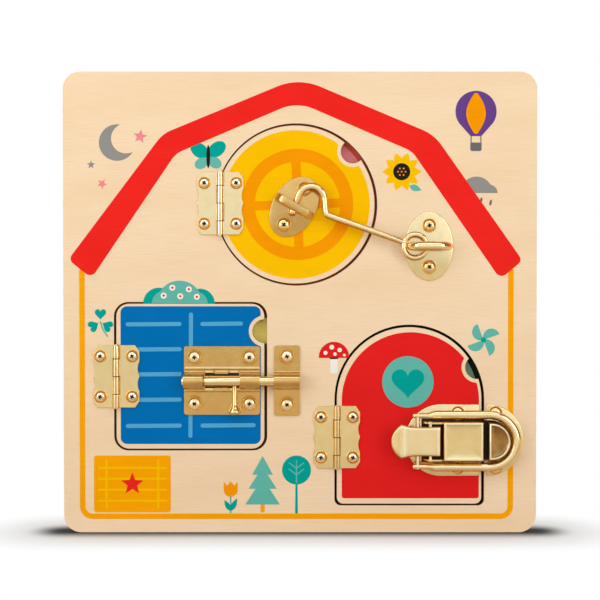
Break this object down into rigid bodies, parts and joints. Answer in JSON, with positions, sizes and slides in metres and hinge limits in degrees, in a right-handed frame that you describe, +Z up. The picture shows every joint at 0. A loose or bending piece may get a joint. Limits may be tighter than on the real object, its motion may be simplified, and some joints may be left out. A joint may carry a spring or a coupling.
{
  "type": "latch board",
  "caption": "Upright plywood latch board with a round, a square and an arched hinged door, held shut by a cabin hook, a barrel bolt and a draw latch.",
  "frame": {"origin": "middle of the bottom edge, on the board's mid plane", "axes": "+X right as seen from the front, +Y from the printed front to the plain back, +Z up"},
  "size_m": [0.3, 0.024, 0.292],
  "materials": {
    "plywood": "sanded birch plywood, clear coat",
    "satin_brass": "satin plated",
    "bolt_brass": "brushed plated",
    "polished_brass": "polished plated",
    "ink_red": "printed ink",
    "ink_yellow": "printed ink",
    "ink_orange": "printed ink",
    "ink_blue": "printed ink",
    "ink_light_blue": "printed ink",
    "ink_teal": "printed ink",
    "ink_dark_teal": "printed ink",
    "ink_grey": "printed ink",
    "ink_purple": "printed ink",
    "ink_pink": "printed ink",
    "ink_white": "printed ink",
    "ink_black": "printed ink"
  },
  "bodies": {
    "board": {"front_board": "plywood", "back_board": "plywood", "round_hinge_fixed_leaf": "satin_brass", "round_hinge_pin": "polished_brass", "round_hinge_board_screws": "polished_brass", "square_hinge_fixed_leaf": "satin_brass", "square_hinge_pin": "polished_brass", "square_hinge_board_screws": "polished_brass", "arch_hinge_fixed_leaf": "satin_brass", "arch_hinge_pin": "polished_brass", "arch_hinge_board_screws": "polished_brass", "hook_eye_plate": "satin_brass", "hook_eye_staple": "polished_brass", "hook_eye_screws": "polished_brass", "bolt_keeper": "bolt_brass", "bolt_keeper_screws": "polished_brass", "latch_keeper_plate": "satin_brass", "latch_keeper_cap": "satin_brass", "latch_keeper_screws": "polished_brass"},
    "round_door": {"round_door": "plywood", "round_hinge_door_leaf": "satin_brass", "round_hinge_door_screws": "polished_brass", "hook_catch_plate": "bolt_brass", "hook_catch_screws": "polished_brass"},
    "square_door": {"square_door": "plywood", "square_hinge_door_leaf": "satin_brass", "square_hinge_door_screws": "polished_brass", "bolt_base": "bolt_brass", "bolt_base_screws": "polished_brass"},
    "arch_door": {"arch_door": "plywood", "arch_hinge_door_leaf": "satin_brass", "arch_hinge_door_screws": "polished_brass", "latch_base": "satin_brass", "latch_base_screws": "polished_brass", "latch_housing": "satin_brass", "latch_lever_pin": "polished_brass"},
    "hook": {"hook": "polished_brass"},
    "bolt": {"bolt_rod": "polished_brass", "bolt_knob": "polished_brass"},
    "latch_lever": {"latch_lever": "satin_brass", "latch_bail_pin": "polished_brass"},
    "latch_bail": {"latch_bail": "polished_brass"}
  },
  "joints": [
    {"name": "round_door_hinge", "type": "hinge", "parent": "board", "child": "round_door", "pos_m": [-0.05045, -0.00725, 0.2089], "axis": [0, 0, -1], "range_deg": [0, 164.9]},
    {"name": "square_door_hinge", "type": "hinge", "parent": "board", "child": "square_door", "pos_m": [-0.11645, -0.00725, 0.0993], "axis": [0, 0, -1], "range_deg": [0, 164.9]},
    {"name": "arch_door_hinge", "type": "hinge", "parent": "board", "child": "arch_door", "pos_m": [0.0234, -0.00725, 0.0607], "axis": [0, 0, -1], "range_deg": [0, 134.9]},
    {"name": "hook_swing", "type": "hinge", "parent": "board", "child": "hook", "pos_m": [0.0696, -0.0102, 0.1818], "axis": [0, 1, 0], "range_deg": [0, 134.9]},
    {"name": "bolt_slide", "type": "slide", "parent": "square_door", "child": "bolt", "axis": [-1, 0, 0], "range_m": [-0.0015, 0.0172]},
    {"name": "latch_lever_turn", "type": "hinge", "parent": "arch_door", "child": "latch_lever", "pos_m": [0.0821, -0.0132, 0.0588], "axis": [0, 0, 1], "range_deg": [0, 115]},
    {"name": "latch_bail_turn", "type": "hinge", "parent": "latch_lever", "child": "latch_bail", "pos_m": [0.0742, -0.012, 0.0588], "axis": [0, 0, 1], "range_deg": [-172.5, 0]}
  ],
  "couplings": [
    {"joint": "latch_bail_turn", "follows": "latch_lever_turn", "ratio": -1.5}
  ]
}
